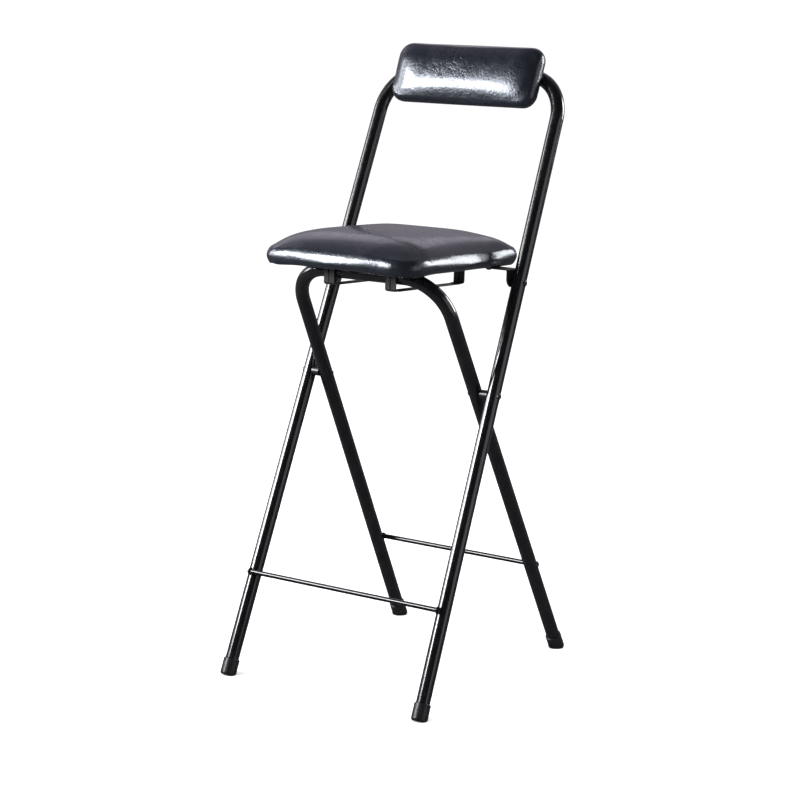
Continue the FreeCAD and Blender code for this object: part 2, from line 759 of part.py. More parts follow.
def bracket(label, side):
    """A bent strap under the board, with an ear that hangs on the hinge rivet."""
    body = new_body(label, SEAT.multiply(Placement(Vector(0, HINGE_SEAT_Y.value, 0), Rotation())))
    steel = cell("bracket_steel")
    low = HINGE_SEAT_Z - cell("bracket_ear")
    profile = new_sketch(body, "XZ_Plane", f"{label}_strip")
    outline(profile, [(STRAP_END * side, 0), (STRAP_END * side, -steel), (EAR_IN * side, -steel),
                      (EAR_IN * side, low), (EAR_OUT * side, low), (EAR_OUT * side, 0)],
            {2: cell("bracket_bend") - steel, 5: cell("bracket_bend")})
    pad(body, profile, cell("bracket_width"), symmetric=True)
    strip = body.Tip
    edges = []
    for number, edge in enumerate(body.Shape.Edges, start=1):
        box = edge.BoundBox
        local = body.Placement.inverse().multVec(edge.CenterOfMass)
        if abs(local.z - low.value) < 0.1 and box.XLength > steel.value / 2:
            edges.append(f"Edge{number}")
    ear = body.newObject("PartDesign::Fillet", f"{label}_ear_round")
    ear.Base = (strip, edges)
    ear.Radius = cell("bracket_ear_round").value
    ear.setExpression("Radius", cell("bracket_ear_round").formula)
    doc.recompute()
    hole = new_sketch(body, "YZ_Plane", f"{label}_rivet_hole")
    circle(hole, 0, HINGE_SEAT_Z, cell("rivet_diameter") / 2 + cell("running_slack"))
    cut(body, hole)
    drill(body, f"{label}_screw_holes", [(BRACKET_SCREW * side, step) for step in BRACKET_STEPS], SCREW_HOLE)


for name, side in SIDES.items():
    guide(f"seat_guide_front_{name}", side, FRONT_LEG, 1)
    guide(f"seat_guide_rear_{name}", side, REAR_LEG, -1)
    bracket(f"hinge_bracket_{name}", side)


# Screws, bolts and nuts

def headed_pin(label, diameter, head_diameter, head_height, length):
    """A pin along +Z with a low conical head below it."""
    body = new_body(label, Placement())
    radius = cell(diameter) / 2
    head = cell(head_diameter) / 2
    low = -cell(head_height)
    revolve(body, f"{label}_section",
            [(0, low), (head * 0.6, low), (head, low / 2), (head, 0), (radius, 0), (radius, length),
             (0, length)])
    return body


screw = headed_pin("screw_pattern", "screw_diameter", "screw_head_diameter", "screw_head_height",
                   cell("screw_length"))
copies("guide_screws", screw, [
    SEAT.multiply(Placement(Vector(x.value, y.value, -cell("guide_steel").value), Rotation()))
    for x, y in GUIDE_SPOTS])
copies("bracket_screws", screw, [
    SEAT.multiply(Placement(Vector(x.value, y.value, -cell("bracket_steel").value), Rotation()))
    for x, y in BRACKET_SPOTS])

bolt_start = cell("tube_diameter")
bolt = headed_pin("bolt_pattern", "bolt_diameter", "bolt_head_diameter", "bolt_head_height",
                  bolt_start + panel + cell("nut_length"))
copies("backrest_bolts", bolt, [
    PAD.multiply(Placement(Vector(x.value, 0, -bolt_start.value), Rotation())) for x, y in BOLT_SPOTS])

nut = new_body("nut_pattern", Placement())
nut_bore = cell("bolt_diameter") / 2 + cell("screw_slack")
barrel = cell("nut_barrel_diameter") / 2
revolve(nut, "nut_section",
        [(nut_bore, -cell("nut_length")), (barrel, -cell("nut_length")), (barrel, 0),
         (cell("nut_flange_diameter") / 2, 0), (cell("nut_flange_diameter") / 2, cell("nut_flange_height")),
         (nut_bore, cell("nut_flange_height"))])
copies("backrest_tee_nuts", nut, [
    PAD.multiply(Placement(Vector(x.value, 0, nut_height.value), Rotation())) for x, y in BOLT_SPOTS])


# Check every object, then write one file for each sub-part

doc.recompute()
for item in doc.Objects:
    if "Invalid" in item.State or "Error" in item.State:
        raise RuntimeError(f"{item.Label}: {item.State}")

os.makedirs("parts", exist_ok=True)
for item in doc.Objects:
    if item.TypeId not in ("PartDesign::Body", "Part::Feature") or item.Label.endswith("_pattern"):
        continue
    if item.Shape.isNull() or not item.Shape.isValid():
        raise RuntimeError(f"{item.Label}: its shape isn't valid")
    print(f"{item.Label}: {len(item.Shape.Solids)} solid(s), {item.Shape.Volume:.1f} mm3")
    item.Shape.exportStep(f"parts/{item.Label}.step")
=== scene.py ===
"""Folding bar stool: gloss black tube frames with a glossy black leatherette seat and backrest.

Lengths are metres and angles are degrees. The frames, footrest rods, caps, rivets, spacers, boards,
linings, guides, brackets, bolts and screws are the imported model's own pieces with new finishes. The
two cushions are shaped here and swollen by a cloth simulation, and the rails of the seat's guides
and the staples of its lining are made here as well.
"""

import math

import bpy
from mathutils import Euler, Matrix, Vector

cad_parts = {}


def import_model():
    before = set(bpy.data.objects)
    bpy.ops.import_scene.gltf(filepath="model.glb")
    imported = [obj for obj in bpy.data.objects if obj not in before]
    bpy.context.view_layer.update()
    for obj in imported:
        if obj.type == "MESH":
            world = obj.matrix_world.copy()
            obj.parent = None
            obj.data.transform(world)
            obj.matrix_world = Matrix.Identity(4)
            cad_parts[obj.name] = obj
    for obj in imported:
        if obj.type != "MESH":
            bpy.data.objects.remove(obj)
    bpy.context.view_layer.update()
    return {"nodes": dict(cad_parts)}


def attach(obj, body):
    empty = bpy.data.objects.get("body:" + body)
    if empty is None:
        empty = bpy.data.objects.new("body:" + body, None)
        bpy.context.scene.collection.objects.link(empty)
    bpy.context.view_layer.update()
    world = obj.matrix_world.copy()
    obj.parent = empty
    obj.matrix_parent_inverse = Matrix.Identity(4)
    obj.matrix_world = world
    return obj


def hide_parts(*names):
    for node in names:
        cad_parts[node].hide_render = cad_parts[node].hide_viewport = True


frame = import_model()
bpy.ops.object.select_all(action="DESELECT")

MM = 0.001

# The seat's own frame starts on its underside above the crossbar, with +Y to the rear. Widths and
# corner radii are at its front and at its rear.
SEAT_SLOPE = 3.3
SEAT_AT = (0.0, -0.0973, 0.66233)
SEAT = (Matrix.Translation(SEAT_AT)
        @ Euler((-math.radians(SEAT_SLOPE), 0, 0)).to_matrix().to_4x4())
SEAT_FRONT = -90.2 * MM
SEAT_DEPTH = 316.7 * MM
SEAT_REAR = SEAT_FRONT + SEAT_DEPTH
SEAT_WIDTHS = (295.6 * MM, 284.4 * MM)
SEAT_CORNERS = (45 * MM, 24 * MM)

# The backrest's own frame starts on its back where it meets the top crossbar, with +Y up along the
# main frame and +Z to the front.
MAIN_LEAN = 24.13
MAIN_FOOT_Y = -0.21665
MAIN_TOP = 1.03186
TUBE_RADIUS = 11 * MM
LEAN = (Matrix.Translation((0, MAIN_FOOT_Y, 0))
        @ Euler((math.radians(90 - MAIN_LEAN), 0, 0)).to_matrix().to_4x4())
BACKREST = LEAN @ Matrix.Translation((0, MAIN_TOP, TUBE_RADIUS))
BACKREST_BOTTOM = -62.5 * MM
BACKREST_HEIGHT = 99.8 * MM
BACKREST_WIDTHS = (275.2 * MM, 275.2 * MM)
BACKREST_CORNERS = (21.5 * MM, 21.5 * MM)


# Node helpers

def new_material(name):
    material = bpy.data.materials.new(name)
    material.use_nodes = True
    material.node_tree.nodes.clear()
    return material, material.node_tree


def add(tree, kind, **settings):
    node = tree.nodes.new(kind)
    for name, value in settings.items():
        setattr(node, name, value)
    return node


def link(tree, source, target):
    tree.links.new(source, target)


def finished_shader(tree, **values):
    """A Principled BSDF on the output, with constant sockets set by name."""
    output = add(tree, "ShaderNodeOutputMaterial")
    shader = add(tree, "ShaderNodeBsdfPrincipled")
    link(tree, shader.outputs["BSDF"], output.inputs["Surface"])
    for name, value in values.items():
        shader.inputs[name.replace("_", " ")].default_value = value
    return shader


def place_on_piece(tree):
    """Object coordinates, so that a pattern stays on its piece."""
    return add(tree, "ShaderNodeTexCoord").outputs["Object"]


def noise(tree, place, scale, detail, roughness):
    texture = add(tree, "ShaderNodeTexNoise")
    texture.inputs["Scale"].default_value = scale
    texture.inputs["Detail"].default_value = detail
    texture.inputs["Roughness"].default_value = roughness
    link(tree, place, texture.inputs["Vector"])
    return texture.outputs["Fac"]


def object_noise(tree, scale, detail, stretch=(1, 1, 1), roughness=0.5):
    """Noise with a number of lumps per metre, drawn out where its stretch is below 1."""
    mapping = add(tree, "ShaderNodeMapping")
    mapping.inputs["Scale"].default_value = stretch
    link(tree, place_on_piece(tree), mapping.inputs["Vector"])
    return noise(tree, mapping.outputs["Vector"], scale, detail, roughness)


def ramp(tree, source, stops):
    node = add(tree, "ShaderNodeValToRGB")
    while len(node.color_ramp.elements) < len(stops):
        node.color_ramp.elements.new(0.5)
    for element, (position, colour) in zip(node.color_ramp.elements, stops):
        element.position = position
        element.color = (*colour, 1)
    link(tree, source, node.inputs["Fac"])
    return node.outputs["Color"]


def value_range(tree, source, low, high, out_low, out_high):
    node = add(tree, "ShaderNodeMapRange")
    node.inputs["From Min"].default_value = low
    node.inputs["From Max"].default_value = high
    node.inputs["To Min"].default_value = out_low
    node.inputs["To Max"].default_value = out_high
    link(tree, source, node.inputs["Value"])
    return node.outputs["Result"]


def calculate(tree, operation, first, second=0.0):
    node = add(tree, "ShaderNodeMath", operation=operation)
    for number, value in enumerate((first, second)):
        if isinstance(value, float):
            node.inputs[number].default_value = value
        else:
            link(tree, value, node.inputs[number])
    return node.outputs["Value"]


def bump(tree, pattern, height, strength, under=None):
    node = add(tree, "ShaderNodeBump")
    node.inputs["Distance"].default_value = height
    node.inputs["Strength"].default_value = strength
    link(tree, pattern, node.inputs["Height"])
    if under is not None:
        link(tree, under, node.inputs["Normal"])
    return node.outputs["Normal"]


def streaks(tree, scale, turn, length, line):
    """Long thin lines at a slant: 0 where a drawn-out noise crosses its middle value, rising to 1
    on both sides."""
    slant = add(tree, "ShaderNodeMapping", vector_type="TEXTURE")
    slant.inputs["Rotation"].default_value = (0, math.radians(turn), 0)
    slant.inputs["Scale"].default_value = (1, 1, length)
    link(tree, place_on_piece(tree), slant.inputs["Vector"])
    pattern = noise(tree, slant.outputs["Vector"], scale, detail=2, roughness=0.5)
    off_middle = calculate(tree, "ABSOLUTE", calculate(tree, "SUBTRACT", pattern, 0.5))
    return value_range(tree, off_middle, 0.0, line, 0.0, 1.0)


def near(tree, point, full, none):
    """1 within a distance of a point on the piece, falling to 0 at another."""
    away = add(tree, "ShaderNodeVectorMath", operation="DISTANCE")
    away.inputs[1].default_value = point
    link(tree, place_on_piece(tree), away.inputs[0])
    return value_range(tree, away.outputs["Value"], full, none, 1.0, 0.0)


def height_above(tree, place, low, high, out_low, out_high):
    """A value that changes with the height above the base of a tilted frame."""
    up = place.to_3x3() @ Vector((0, 0, 1))
    base = up.dot(place.translation)
    height = add(tree, "ShaderNodeVectorMath", operation="DOT_PRODUCT")
    height.inputs[1].default_value = up
    link(tree, place_on_piece(tree), height.inputs[0])
    return value_range(tree, height.outputs["Value"], base + low, base + high, out_low, out_high)


# Finishes

# Nearly all values of a noise lie between these two
NOISE_SPAN = (0.3, 0.7)


def mottle(tree, shader, colour, roughness):
    """Vary a shader's colour and roughness over the piece.

    colour is a noise and the stops of its ramp, and roughness is a noise, its least and its most.
    Each noise is what object_noise takes."""
    lumps, stops = colour
    link(tree, ramp(tree, object_noise(tree, *lumps), stops), shader.inputs["Base Color"])
    lumps, least, most = roughness
    rough = value_range(tree, object_noise(tree, *lumps), *NOISE_SPAN, least, most)
    link(tree, rough, shader.inputs["Roughness"])


def mottled_finish(name, colour, roughness, relief=None, **values):
    """A mottled finish, with a relief given by its noise, its height and its strength."""
    material, tree = new_material(name)
    shader = finished_shader(tree, **values)
    mottle(tree, shader, colour, roughness)
    if relief is not None:
        lumps, height, strength = relief
        surface = bump(tree, object_noise(tree, *lumps), height, strength)
        link(tree, surface, shader.inputs["Normal"])
    return material


def gloss_black_paint(name, shine, roughness, peel):
    """Smooth black powder coat with a little dust and a slight orange peel."""
    return mottled_finish(
        name,
        colour=((45, 4), [(0.35, (0.0015, 0.0015, 0.002)), (0.8, (0.004, 0.004, 0.005))]),
        roughness=((160, 3), *roughness),
        relief=((420, 2), 0.12 * MM, peel),
        Specular_IOR_Level=shine, Coat_Weight=1.2 * shine, Coat_Roughness=0.04)


def moulded_plastic():
    """Satin black plastic of the foot caps."""
    return mottled_finish(
        "moulded_cap_plastic",
        colour=((80, 3), [(0.3, (0.003, 0.003, 0.0035)), (0.8, (0.008, 0.008, 0.009))]),
        roughness=((220, 3), 0.26, 0.38),
        relief=((1500, 2), 0.08 * MM, 0.5))


def plain_black(name, roughness, colour=(0.006, 0.006, 0.007)):
    """Blackened steel or black nylon, by its colour and roughness."""
    darker = tuple(c * 0.6 for c in colour)
    return mottled_finish(
        name,
        colour=((120, 4), [(0.3, darker), (0.75, colour)]),
        roughness=((300, 3), *roughness),
        relief=((400, 2), 0.03 * MM, 0.5),
        Coat_Weight=0.2, Coat_Roughness=0.2)


def zinc():
    return mottled_finish(
        "zinc_plated_steel",
        colour=((400, 4), [(0.3, (0.35, 0.35, 0.36)), (0.7, (0.6, 0.6, 0.58))]),
        roughness=((700, 3), 0.25, 0.42),
        Metallic=1.0)


def plywood():
    grain = (35, 6, (1, 0.08, 1))
    return mottled_finish(
        "raw_plywood",
        colour=(grain, [(0.3, (0.5, 0.34, 0.19)), (0.7, (0.72, 0.55, 0.36))]),
        roughness=(grain, 0.55, 0.75),
        relief=(grain, 0.3 * MM, 0.4))


def lining():
    """Black non-woven lining: pressed fibres."""
    fibres = (700, 5, (1, 0.35, 1), 0.7)
    return mottled_finish(
        "non_woven_lining",
        colour=(fibres, [(0.35, (0.004, 0.004, 0.0045)), (0.7, (0.012, 0.012, 0.013))]),
        roughness=(fibres, 0.75, 0.95),
        relief=(fibres, 0.3 * MM, 0.7),
        Specular_IOR_Level=0.15, Sheen_Weight=0.04)


# Turn and scale of the two sets of fine scratches on the backrest, and the spot that they are near
SCRATCHES = ((34, 120), (-30, 105))
SCRATCHED_SPOT = BACKREST @ Vector((-25 * MM, 0, 33 * MM))


def leatherette(name, place, slack_below, taut_above, slack_left, crinkle, scratched=None):
    """Glossy coated fabric in a cool black, with a fine grain.

    It crinkles most where it is slack, low on its sides, and less where the crown pulls it taut."""
    material, tree = new_material(name)
    shader = finished_shader(tree, Specular_IOR_Level=0.7, Specular_Tint=(0.84, 0.9, 1.0, 1),
                             Coat_Weight=0.3, Coat_Roughness=0.12)
    mottle(tree, shader,
           colour=((9, 3), [(0.3, (0.003, 0.004, 0.0065)), (0.75, (0.006, 0.0075, 0.0115))]),
           roughness=((60, 4), 0.24, 0.36))
    slack = height_above(tree, place, slack_below, taut_above, 1.0, slack_left)
    grain = object_noise(tree, scale=1500, detail=2)
    surface = bump(tree, grain, height=0.12 * MM, strength=0.5)
    fine = object_noise(tree, scale=220, detail=3, roughness=0.6)
    fine = calculate(tree, "MULTIPLY", fine, slack)
    surface = bump(tree, fine, height=0.6 * MM, strength=0.75 * crinkle, under=surface)
    wave = calculate(tree, "MULTIPLY", object_noise(tree, scale=24, detail=2), slack)
    surface = bump(tree, wave, height=4 * MM, strength=0.26 * crinkle, under=surface)
    if scratched is not None:
        for turn, scale in SCRATCHES:
            lines = streaks(tree, scale, turn, length=7, line=0.07)
            around = near(tree, scratched, full=12 * MM, none=55 * MM)
            scratches = calculate(tree, "MULTIPLY", lines, around)
            surface = bump(tree, scratches, height=0.5 * MM, strength=0.45, under=surface)
    link(tree, surface, shader.inputs["Normal"])
    return material


PAINT = gloss_black_paint("gloss_black_paint", shine=0.5, roughness=(0.16, 0.26), peel=0.6)
ROD_PAINT = gloss_black_paint("rod_black_paint", shine=0.3, roughness=(0.1, 0.16), peel=0.3)
CAP = moulded_plastic()
RIVET = plain_black("black_rivet_steel", (0.08, 0.16))
NYLON = plain_black("black_nylon", (0.34, 0.46), (0.004, 0.004, 0.0045))
STRIP = plain_black("black_strip_steel", (0.34, 0.48))
ZINC = zinc()
WOOD = plywood()
LINING = lining()
SEAT_LEATHER = leatherette("seat_leatherette", SEAT, slack_below=20 * MM, taut_above=42 * MM,
                           slack_left=0.25, crinkle=1.2)
BACKREST_LEATHER = leatherette("backrest_leatherette", BACKREST, slack_below=20 * MM,
                               taut_above=40 * MM, slack_left=0.8, crinkle=1.3,
                               scratched=SCRATCHED_SPOT)

# Each finish, and what the names of its pieces start with
FINISHES = (
    (PAINT, ("main_frame_tube", "rear_leg_tube")),
    (ROD_PAINT, ("front_footrest_rod", "rear_footrest_rod")),
    (CAP, ("front_foot_cap", "rear_foot_cap")),
    (RIVET, ("pivot_rivet", "hinge_rivet", "backrest_bolts")),
    (NYLON, ("pivot_spacer", "hinge_washers")),
    (STRIP, ("seat_guide", "hinge_bracket")),
    (ZINC, ("guide_screws", "bracket_screws", "backrest_tee_nuts")),
    (WOOD, ("seat_board", "backrest_board")),
    (LINING, ("seat_bottom_cover", "backrest_back_panel")),
    (SEAT_LEATHER, ("seat_cushion",)),
    (BACKREST_LEATHER, ("backrest_cushion",)),
)

for node_name, node in frame["nodes"].items():
    node.data.materials.clear()
    for material, beginnings in FINISHES:
        if node_name.startswith(beginnings):
            node.data.materials.append(material)


# Modelling helpers

def select_only(piece):
    bpy.ops.object.select_all(action="DESELECT")
    piece.select_set(True)
    bpy.context.view_layer.objects.active = piece


def edit(piece):
    select_only(piece)
    bpy.ops.object.mode_set(mode="EDIT")


def done():
    bpy.ops.object.mode_set(mode="OBJECT")


def pick(piece, wanted):
    """Select the vertices that pass a test, and nothing else, and go into edit mode."""
    for part in (piece.data.vertices, piece.data.edges, piece.data.polygons):
        for item in part:
            item.select = False
    for vertex in piece.data.vertices:
        vertex.select = wanted(vertex.co)
    edit(piece)


def group(piece, name, wanted):
    """A vertex group of the points that pass a test."""
    numbers = [vertex.index for vertex in piece.data.vertices if wanted(vertex.co)]
    piece.vertex_groups.new(name=name).add(numbers, 1.0, "REPLACE")


def apply_modifier(piece, kind, name, **settings):
    modifier = piece.modifiers.new(name, kind)
    for key, value in settings.items():
        setattr(modifier, key, value)
    select_only(piece)
    bpy.ops.object.modifier_apply(modifier=name)


def copy_of(piece):
    """A copy of a piece with a mesh of its own."""
    select_only(piece)
    bpy.ops.object.duplicate()
    return bpy.context.object


def apply_place(piece):
    select_only(piece)
    bpy.ops.object.transform_apply(location=True, rotation=True, scale=True)


def settle(piece, place):
    """Put a piece modelled in a frame of its own where it belongs, with its place in its mesh."""
    piece.matrix_world = place @ piece.matrix_basis
    apply_place(piece)


def finish_piece(piece, material, body, angle):
    """Shade a piece smooth across edges below an angle, and give it its finish and body."""
    select_only(piece)
    bpy.ops.object.shade_smooth_by_angle(angle=math.radians(angle))
    piece.data.materials.clear()
    piece.data.materials.append(material)
    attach(piece, body)


# Cushions

# How far a cushion's cover starts off its back, how high the cover is held and kept sharp, and how
# far from its corner a vertex may lie and still be picked
COVER_START = 0.4 * MM
COVER_BASE = 5 * MM
HAIR = 0.1 * MM

# Shares of the side's height at which it is drawn in, and how fast that eases off going up
SIDE_SHARES = (0.0, 0.15, 0.4, 0.7)
SIDE_EASE = 1.8

# Shares of the crown's height at which it has a level, and how full its rounded section is
CROWN_SHARES = (0.15, 0.3, 0.45, 0.58, 0.7, 0.79, 0.86, 0.91, 0.95, 0.975, 0.99, 0.998)
CROWN_FULLNESS = 3.2

CORNER_SEGMENTS = 8
STUFFING_PRESSURE = 2.0
STUFFING_FRAMES = 20


def side_and_crown(widest, top, draw_in, reach):
    """Levels (height, inset) of a cushion: a side drawn in below, and a full crown above it."""
    levels = []
    for share in SIDE_SHARES:
        height = COVER_START + (widest - COVER_START) * share
        levels.append((height, draw_in * (1 - share) ** SIDE_EASE))
    levels.append((widest, 0.0))
    for share in CROWN_SHARES:
        inset = reach * (1 - (1 - share ** 2) ** (1 / CROWN_FULLNESS))
        levels.append((widest + (top - widest) * share, inset))
    return levels


def slab(name, widths, depth, front, corners, levels):
    """A rounded slab drawn up level by level. Widths and corners are at its front and its rear."""
    middle = Vector((0, front + depth / 2, 0))
    bpy.ops.mesh.primitive_plane_add(size=1, location=(0, middle.y, levels[0][0]))
    piece = bpy.context.object
    piece.name = name
    piece.scale = (widths[0], depth, 1)
    apply_place(piece)
    for vertex in piece.data.vertices:
        if vertex.co.y > middle.y:
            vertex.co.x *= widths[1] / widths[0]
    for end, radius in zip((front, front + depth), corners):
        pick(piece, lambda co: abs(co.y - end) < HAIR)
        bpy.ops.mesh.bevel(offset=radius, segments=CORNER_SEGMENTS, affect="VERTICES")
        done()
    edit(piece)
    bpy.ops.mesh.select_all(action="SELECT")
    width = sum(widths) / 2
    inset_now = 0.0
    height_now = levels[0][0]
    for number, (height, inset) in enumerate(levels):
        if number:
            rise = {"value": (0, 0, height - height_now)}
            bpy.ops.mesh.extrude_region_move(TRANSFORM_OT_translate=rise)
        across = (width - 2 * inset) / (width - 2 * inset_now)
        along = (depth - 2 * inset) / (depth - 2 * inset_now)
        centre = middle + Vector((0, 0, height))
        bpy.ops.transform.resize(value=(across, along, 1), center_override=centre)
        inset_now = inset
        height_now = height
    bpy.ops.mesh.select_all(action="DESELECT")
    bpy.ops.mesh.select_non_manifold()
    bpy.ops.mesh.edge_face_add()
    bpy.ops.mesh.select_all(action="SELECT")
    bpy.ops.mesh.normals_make_consistent(inside=False)
    done()
    return piece


def stuff(piece, cap):
    """Swell a cover by cloth simulation with its base held. No point moves further than the cap."""
    start = [vertex.co.copy() for vertex in piece.data.vertices]
    group(piece, "held", lambda co: co.z < COVER_BASE)
    cloth = piece.modifiers.new("stuffing", "CLOTH")
    cloth.settings.use_pressure = True
    cloth.settings.uniform_pressure_force = STUFFING_PRESSURE
    cloth.settings.vertex_group_mass = "held"
    cloth.settings.effector_weights.gravity = 0
    for number in range(1, STUFFING_FRAMES + 1):
        bpy.context.scene.frame_set(number)
    select_only(piece)
    bpy.ops.object.modifier_apply(modifier="stuffing")
    for vertex, origin in zip(piece.data.vertices, start):
        moved = vertex.co - origin
        if moved.length > cap:
            vertex.co = origin + moved * (cap / moved.length)
    bpy.context.scene.frame_set(1)


def swell(piece, crown_from, voxel, cap):
    """Puff a slab out like a stuffed cover, even out its crown, and sharpen its base again."""
    first = copy_of(piece)
    apply_modifier(piece, "REMESH", "even", mode="VOXEL", voxel_size=voxel)
    apply_modifier(piece, "SMOOTH", "soften", factor=0.5, iterations=3)
    stuff(piece, cap)
    group(piece, "crown", lambda co: co.z > crown_from)
    apply_modifier(piece, "SMOOTH", "even_crown", factor=0.5, iterations=130, vertex_group="crown")
    group(piece, "sharp", lambda co: co.z < COVER_BASE)
    apply_modifier(piece, "SHRINKWRAP", "base", target=first, vertex_group="sharp")
    bpy.data.objects.remove(first, do_unlink=True)
    piece.vertex_groups.clear()


def push(piece, spot, reach, move, still):
    """Move the point of the piece nearest to a spot, and its surroundings with it, in a smooth
    fall-off. Points that pass the test called still stay where they are."""
    points = [vertex.co for vertex in piece.data.vertices]
    nearest = min(points, key=lambda co: (co - Vector(spot)).length).copy()
    pick(piece, still)
    bpy.ops.mesh.hide(unselected=False)
    done()
    pick(piece, lambda co: (co - nearest).length < HAIR / 10)
    bpy.ops.transform.translate(value=move, use_proportional_edit=True,
                                proportional_edit_falloff="SMOOTH", proportional_size=reach)
    bpy.ops.mesh.reveal(select=False)
    done()


def finish_cushion(piece, place, leather, body):
    apply_modifier(piece, "SUBSURF", "fine", levels=1, render_levels=1)
    settle(piece, place)
    finish_piece(piece, leather, body, angle=60)


def seat_cushion():
    levels = side_and_crown(widest=14.4 * MM, top=55.4 * MM, draw_in=6.5 * MM, reach=138 * MM)
    piece = slab("seat_cushion_cover", SEAT_WIDTHS, SEAT_DEPTH, SEAT_FRONT, SEAT_CORNERS, levels)
    swell(piece, crown_from=28 * MM, voxel=4 * MM, cap=1.5 * MM)
    front_half, rear_half = (width / 2 for width in SEAT_WIDTHS)
    hem = 12 * MM

    def underside(co):
        inner = abs(co.x) < rear_half - hem and SEAT_FRONT + hem < co.y < SEAT_REAR - hem
        return co.z < 1 * MM and inner

    for side in (-1, 1):
        # A front corner hangs lower
        spot = (side * (front_half - 12 * MM), SEAT_FRONT + 12 * MM, 2 * MM)
        push(piece, spot, reach=70 * MM, move=(0, 0, -4 * MM), still=underside)
        # The front side leans back beside the corner
        spot = (side * (front_half - 52 * MM), SEAT_FRONT + 3 * MM, 32 * MM)
        push(piece, spot, reach=46 * MM, move=(0, 2.6 * MM, 0), still=underside)
        # The crown stands out near a rear corner
        spot = (side * (rear_half - 14 * MM), SEAT_REAR - 34 * MM, 38 * MM)
        push(piece, spot, reach=48 * MM, move=(side * 1.5 * MM, 0, 2 * MM), still=underside)
    finish_cushion(piece, SEAT, SEAT_LEATHER, "seat")
    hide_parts("seat_cushion")


def backrest_cushion():
    levels = side_and_crown(widest=12.5 * MM, top=33.1 * MM, draw_in=3 * MM, reach=48 * MM)
    piece = slab("backrest_cushion_cover", BACKREST_WIDTHS, BACKREST_HEIGHT, BACKREST_BOTTOM,
                 BACKREST_CORNERS, levels)
    swell(piece, crown_from=24 * MM, voxel=3 * MM, cap=1.2 * MM)
    # The left end stands prouder
    spot = (-114 * MM, 8 * MM, 30 * MM)
    push(piece, spot, reach=45 * MM, move=(0, 0, 3.6 * MM), still=lambda co: co.z < COVER_BASE)
    finish_cushion(piece, BACKREST, BACKREST_LEATHER, "main_frame")
    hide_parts("backrest_cushion")


seat_cushion()
backrest_cushion()


def bar(centre, size, softening, segments):
    """A flat bar with softened edges."""
    bpy.ops.mesh.primitive_cube_add(size=1, location=centre)
    piece = bpy.context.object
    piece.scale = size
    apply_place(piece)
    edit(piece)
    bpy.ops.mesh.select_all(action="SELECT")
    bpy.ops.mesh.bevel(offset=softening, segments=segments)
    done()
    return piece


# Rails that join the guides' hooks under the seat: two on each side, one off each edge of a hook

HOOK_ACROSS = 59 * MM
RAIL_OFF_HOOK = 6.1 * MM
RAIL_WIDTH = 7.4 * MM
RAIL_STEEL = 1.4 * MM
RAIL_HEIGHT = -32.3 * MM
RAIL_ENDS = (-2.8 * MM, 161.1 * MM)


def guide_rails():
    start, end = RAIL_ENDS
    rail = bar((0, (start + end) / 2, RAIL_HEIGHT), (RAIL_WIDTH, end - start, RAIL_STEEL),
               softening=0.5 * MM, segments=3)
    for side_name, side in (("left", -1), ("right", 1)):
        for edge_name, off in (("inner", -RAIL_OFF_HOOK), ("outer", RAIL_OFF_HOOK)):
            piece = copy_of(rail)
            piece.name = f"guide_rail_{side_name}_{edge_name}"
            piece.location.x = side * (HOOK_ACROSS + off)
            settle(piece, SEAT)
            finish_piece(piece, STRIP, "seat", angle=40)
    bpy.data.objects.remove(rail, do_unlink=True)


guide_rails()


# Flat wire staples that hold the lining under the seat

STAPLE_LENGTH = 11 * MM
STAPLE_WIDTH = 1.3 * MM
STAPLE_WIRE = 0.7 * MM
STAPLE_HEIGHT = -0.25 * MM
STAPLE_INSET = 17 * MM
STAPLE_SPACING = 38 * MM
STAPLES_ACROSS = (-2.5, -1.5, -0.5, 0.5, 1.5, 2.5)
STAPLES_ALONG = (-40 * MM, 38 * MM, 76 * MM, 114 * MM)


def lining_staples():
    across = [step * STAPLE_SPACING for step in STAPLES_ACROSS]
    half_width = sum(SEAT_WIDTHS) / 4 - STAPLE_INSET
    ends = (SEAT_FRONT + STAPLE_INSET, SEAT_REAR - STAPLE_INSET)
    spots = [(x, y, 0) for y in ends for x in across]
    spots += [(side * half_width, y, 90) for side in (-1, 1) for y in STAPLES_ALONG]
    staple = bar((0, 0, STAPLE_HEIGHT), (STAPLE_LENGTH, STAPLE_WIDTH, STAPLE_WIRE),
                 softening=0.3 * MM, segments=2)
    pieces = []
    for x, y, turn in spots:
        piece = copy_of(staple)
        piece.location = (x, y, 0)
        piece.rotation_euler = (0, 0, math.radians(turn))
        apply_place(piece)
        pieces.append(piece)
    bpy.data.objects.remove(staple, do_unlink=True)
    select_only(pieces[0])
    for piece in pieces:
        piece.select_set(True)
    bpy.ops.object.join()
    piece = bpy.context.object
    piece.name = "lining_staples"
    settle(piece, SEAT)
    finish_piece(piece, ZINC, "seat", angle=40)


lining_staples()


# Floor and room

FLOOR_SIZE = 40
FLOOR_WHITE = (0.9, 0.9, 0.9)
FLOOR_MIRRORED = (0.05, 0.05, 0.055)
SKY_STRENGTH = 1.15
ROOM_TINT = (0.93, 0.86, 1.0)

# Where the room's pale wall lies, how near a direction is to it where it starts and where it is
# full, and how bright the room is there
WALL_DIRECTION = (-0.58, 0.79, 0.2)
WALL_EDGE = (0.1, 0.8)
WALL_LIGHT = (0.015, 0.34)


def show(tree, output_kind, seen, mirrored):
    """Use one shader for the camera and for matt surfaces, and another for reflections."""
    output = add(tree, output_kind)
    rays = add(tree, "ShaderNodeLightPath")
    mix = add(tree, "ShaderNodeMixShader")
    link(tree, rays.outputs["Is Glossy Ray"], mix.inputs["Fac"])
    link(tree, seen, mix.inputs[1])
    link(tree, mirrored, mix.inputs[2])
    link(tree, mix.outputs["Shader"], output.inputs["Surface"])


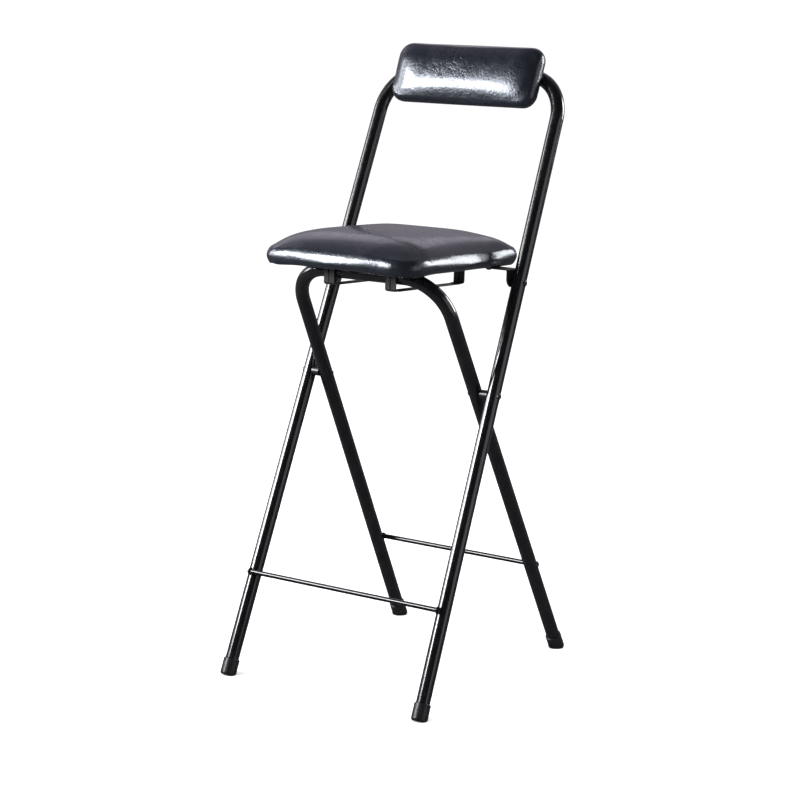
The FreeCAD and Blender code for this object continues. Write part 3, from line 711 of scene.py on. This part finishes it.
def floor():
    """A white floor that takes the light of the room, and is dim in reflections."""
    bpy.ops.mesh.primitive_plane_add(size=FLOOR_SIZE, location=(0, 0, 0))
    plane = bpy.context.object
    plane.name = "studio_floor"
    material, tree = new_material("white_floor")
    shaders = []
    for colour in (FLOOR_WHITE, FLOOR_MIRRORED):
        shader = add(tree, "ShaderNodeBsdfDiffuse")
        shader.inputs["Color"].default_value = (*colour, 1)
        shaders.append(shader.outputs["BSDF"])
    show(tree, "ShaderNodeOutputMaterial", *shaders)
    plane.data.materials.append(material)


def world():
    """White to the camera and to matt surfaces, and a dark room with a pale wall behind the stool
    in reflections."""
    sky = bpy.data.worlds.new("studio")
    bpy.context.scene.world = sky
    sky.use_nodes = True
    tree = sky.node_tree
    tree.nodes.clear()
    white = add(tree, "ShaderNodeBackground")
    white.inputs["Color"].default_value = (1, 1, 1, 1)
    white.inputs["Strength"].default_value = SKY_STRENGTH
    direction = add(tree, "ShaderNodeTexCoord").outputs["Generated"]
    facing = add(tree, "ShaderNodeVectorMath", operation="DOT_PRODUCT")
    facing.inputs[1].default_value = WALL_DIRECTION
    link(tree, direction, facing.inputs[0])
    room = add(tree, "ShaderNodeBackground")
    room.inputs["Color"].default_value = (*ROOM_TINT, 1)
    light = value_range(tree, facing.outputs["Value"], *WALL_EDGE, *WALL_LIGHT)
    link(tree, light, room.inputs["Strength"])
    show(tree, "ShaderNodeOutputWorld", white.outputs["Background"], room.outputs["Background"])


floor()
world()


# Lights and camera

STOOL_MIDDLE = Vector((0, 0, 0.65))
LAMP_DISTANCE = 3.0
LAMP_TINT = (0.97, 0.98, 1.0)

# Name, bearing from the stool's middle, width and height in metres, watts and tint
SOFTBOXES = (
    ("front_left_key", (-0.66, -0.73, 0.35), (1.3, 1.1), 150, LAMP_TINT),
    ("left_strip", (-0.95, -0.30, 0.30), (0.5, 1.5), 30, LAMP_TINT),
    ("back_right_panel", (0.545, 0.839, 0.27), (0.8, 1.3), 55, LAMP_TINT),
    ("back_left_panel", (-0.69, 0.72, 0.63), (3.0, 1.1), 8.5, ROOM_TINT),
    ("right_fill", (0.99, 0.10, 0.05), (2.4, 2.4), 16, LAMP_TINT),
)

# Where the photograph was taken from
CAMERA_AT = (2.1556, -2.9785, 1.2005)
CAMERA_TURN = 35.948
CAMERA_DIP = 11.75
LENS_MM = 106.13
SENSOR_MM = 36


def softbox(name, bearing, size, watts, tint):
    """An area light that faces the stool's middle, unseen by the camera."""
    at = STOOL_MIDDLE + Vector(bearing).normalized() * LAMP_DISTANCE
    bpy.ops.object.light_add(type="AREA", location=at)
    lamp = bpy.context.object
    lamp.name = name
    lamp.data.shape = "RECTANGLE"
    lamp.data.size, lamp.data.size_y = size
    lamp.data.energy = watts
    lamp.data.color = tint
    lamp.visible_camera = False
    lamp.rotation_euler = (STOOL_MIDDLE - at).to_track_quat("-Z", "Y").to_euler()


for lamp_values in SOFTBOXES:
    softbox(*lamp_values)

bpy.ops.object.camera_add(
    location=CAMERA_AT,
    rotation=(math.radians(90 - CAMERA_DIP), 0, math.radians(CAMERA_TURN)))
camera = bpy.context.object
camera.data.lens = LENS_MM
camera.data.sensor_width = SENSOR_MM
bpy.context.scene.camera = camera
bpy.context.scene.view_settings.view_transform = "Standard"
